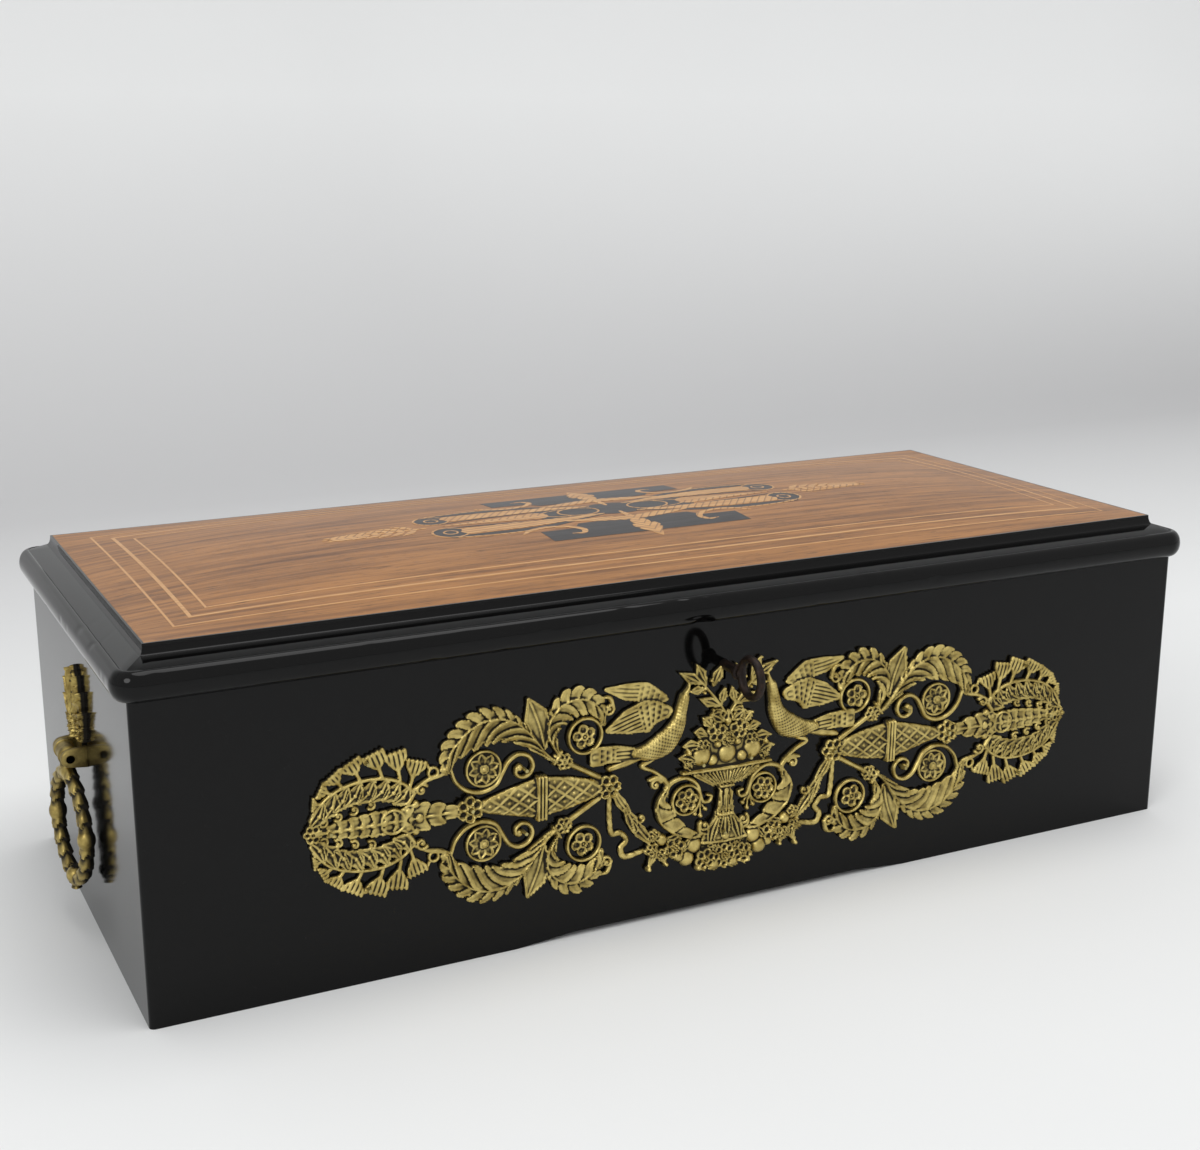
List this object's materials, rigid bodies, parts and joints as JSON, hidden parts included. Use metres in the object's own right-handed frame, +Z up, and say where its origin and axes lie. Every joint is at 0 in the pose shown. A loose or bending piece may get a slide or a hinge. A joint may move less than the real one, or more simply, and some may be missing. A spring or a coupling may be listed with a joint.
{
  "type": "cylinder music box",
  "caption": "Long ebonised box with a domed marquetry lid, gilt scroll mount, lock and end bails, holding a lever-wound cylinder-and-comb musical movement.",
  "frame": {"origin": "centre of the case's underside", "axes": "+X along the case to the right, +Y to the back, +Z up; the front faces -Y"},
  "size_m": [0.575, 0.2717, 0.1745],
  "materials": {
    "ebonised_wood": "high gloss polish",
    "rosewood": "gloss polish",
    "ebony": "gloss polish",
    "boxwood": "gloss polish",
    "plain_wood": "satin",
    "card": "matt paper",
    "gilt_bronze": "old gilding",
    "brass": "satin",
    "iron": "old and dark",
    "steel": "polished",
    "lead": "dull grey lead",
    "glass": "clear"
  },
  "bodies": {
    "case": {"front_board": "ebonised_wood", "back_board": "ebonised_wood", "end_boards": "ebonised_wood", "partitions": "ebonised_wood", "glass_frame": "ebonised_wood", "bottom_board": "plain_wood", "bearers": "plain_wood", "front_mount_left": "gilt_bronze", "front_mount_centre": "gilt_bronze", "front_mount_right": "gilt_bronze", "mount_pins": "gilt_bronze", "handle_plates": "gilt_bronze", "handle_pins": "gilt_bronze", "hinge_case_leaves": "brass", "lock_case": "brass", "comb_base": "brass", "governor_frame": "brass", "control_bracket": "brass", "bridges": "brass", "bedplate": "iron", "hinge_pins": "steel", "screws": "steel", "click_spring": "steel", "comb": "steel", "tuning_leads": "lead", "glass_pane": "glass"},
    "lid": {"lid_rail_front": "ebonised_wood", "lid_rail_back": "ebonised_wood", "lid_rails_end": "ebonised_wood", "lid_panel": "rosewood", "marquetry_ground": "ebony", "marquetry_leaves": "boxwood", "stringing": "boxwood", "tune_card": "card", "hinge_lid_leaves": "brass", "hinge_lid_screws": "steel", "lid_link": "brass"},
    "key": {"key": "iron"},
    "lock_bolt": {"lock_bolt": "steel"},
    "left_bail": {"left_bail": "gilt_bronze"},
    "right_bail": {"right_bail": "gilt_bronze"},
    "cylinder_arbor": {"cylinder_arbor": "steel", "great_wheel": "brass"},
    "cylinder": {"cylinder_tube": "brass", "cylinder_end_caps": "brass", "cylinder_pins": "steel"},
    "barrel": {"spring_barrel": "brass", "mainspring": "steel"},
    "winding_arbor": {"winding_arbor": "steel", "ratchet_wheel": "steel"},
    "winding_lever": {"winding_lever": "iron", "lever_knob": "ebonised_wood", "drive_pawl": "steel"},
    "click": {"holding_click": "steel"},
    "governor_arbor": {"governor_arbor": "steel", "worm_wheel": "brass"},
    "governor_fan": {"worm": "steel", "fan": "brass"},
    "start_lever": {"start_lever": "brass"},
    "change_lever": {"change_lever": "brass"}
  },
  "joints": [
    {"name": "lid_hinge", "type": "hinge", "parent": "case", "child": "lid", "pos_m": [0, 0.116, 0.1445], "axis": [-1, 0, 0], "range_deg": [0, 100]},
    {"name": "key_turn", "type": "hinge", "parent": "case", "child": "key", "pos_m": [0, -0.115, 0.1225], "axis": [0, 1, 0], "range_deg": [0, 180]},
    {"name": "bolt_slide", "type": "slide", "parent": "case", "child": "lock_bolt", "axis": [1, 0, 0], "range_m": [0, 0.006]},
    {"name": "left_bail_swing", "type": "hinge", "parent": "case", "child": "left_bail", "pos_m": [-0.2825, 0, 0.087], "axis": [0, 1, 0], "range_deg": [0, 95]},
    {"name": "right_bail_swing", "type": "hinge", "parent": "case", "child": "right_bail", "pos_m": [0.2825, 0, 0.087], "axis": [0, -1, 0], "range_deg": [0, 95]},
    {"name": "cylinder_spin", "type": "hinge", "parent": "case", "child": "cylinder_arbor", "pos_m": [0, 0.01, 0.07], "axis": [1, 0, 0], "continuous": true},
    {"name": "tune_shift", "type": "slide", "parent": "cylinder_arbor", "child": "cylinder", "axis": [1, 0, 0], "range_m": [0, 0.0036]},
    {"name": "barrel_spin", "type": "hinge", "parent": "case", "child": "barrel", "pos_m": [-0.15, 0.055, 0.07], "axis": [1, 0, 0], "continuous": true},
    {"name": "governor_spin", "type": "hinge", "parent": "case", "child": "governor_arbor", "pos_m": [0.18, 0.0436, 0.07], "axis": [1, 0, 0], "continuous": true},
    {"name": "fan_spin", "type": "hinge", "parent": "case", "child": "governor_fan", "pos_m": [0.18, 0.062, 0.09], "axis": [0, 0, 1], "continuous": true},
    {"name": "winding_stroke", "type": "hinge", "parent": "case", "child": "winding_lever", "pos_m": [-0.222, 0.055, 0.07], "axis": [-1, 0, 0], "range_deg": [0, 100]},
    {"name": "winding_turn", "type": "hinge", "parent": "case", "child": "winding_arbor", "pos_m": [-0.217, 0.055, 0.07], "axis": [-1, 0, 0], "range_deg": [0, 100]},
    {"name": "click_lift", "type": "hinge", "parent": "case", "child": "click", "pos_m": [-0.2165, 0.08, 0.057], "axis": [1, 0, 0], "range_deg": [0, 8]},
    {"name": "start_turn", "type": "hinge", "parent": "case", "child": "start_lever", "pos_m": [0.216, 0.02, 0.1], "axis": [1, 0, 0], "range_deg": [-18, 18]},
    {"name": "change_turn", "type": "hinge", "parent": "case", "child": "change_lever", "pos_m": [0.216, -0.03, 0.1], "axis": [1, 0, 0], "range_deg": [-18, 18]}
  ],
  "couplings": [
    {"joint": "bolt_slide", "follows": "key_turn", "m_per_rad": 0.0019},
    {"joint": "barrel_spin", "follows": "cylinder_spin", "ratio": -0.25},
    {"joint": "governor_spin", "follows": "cylinder_spin", "ratio": -6},
    {"joint": "fan_spin", "follows": "cylinder_spin", "ratio": 216},
    {"joint": "winding_turn", "follows": "winding_stroke", "ratio": 1}
  ]
}
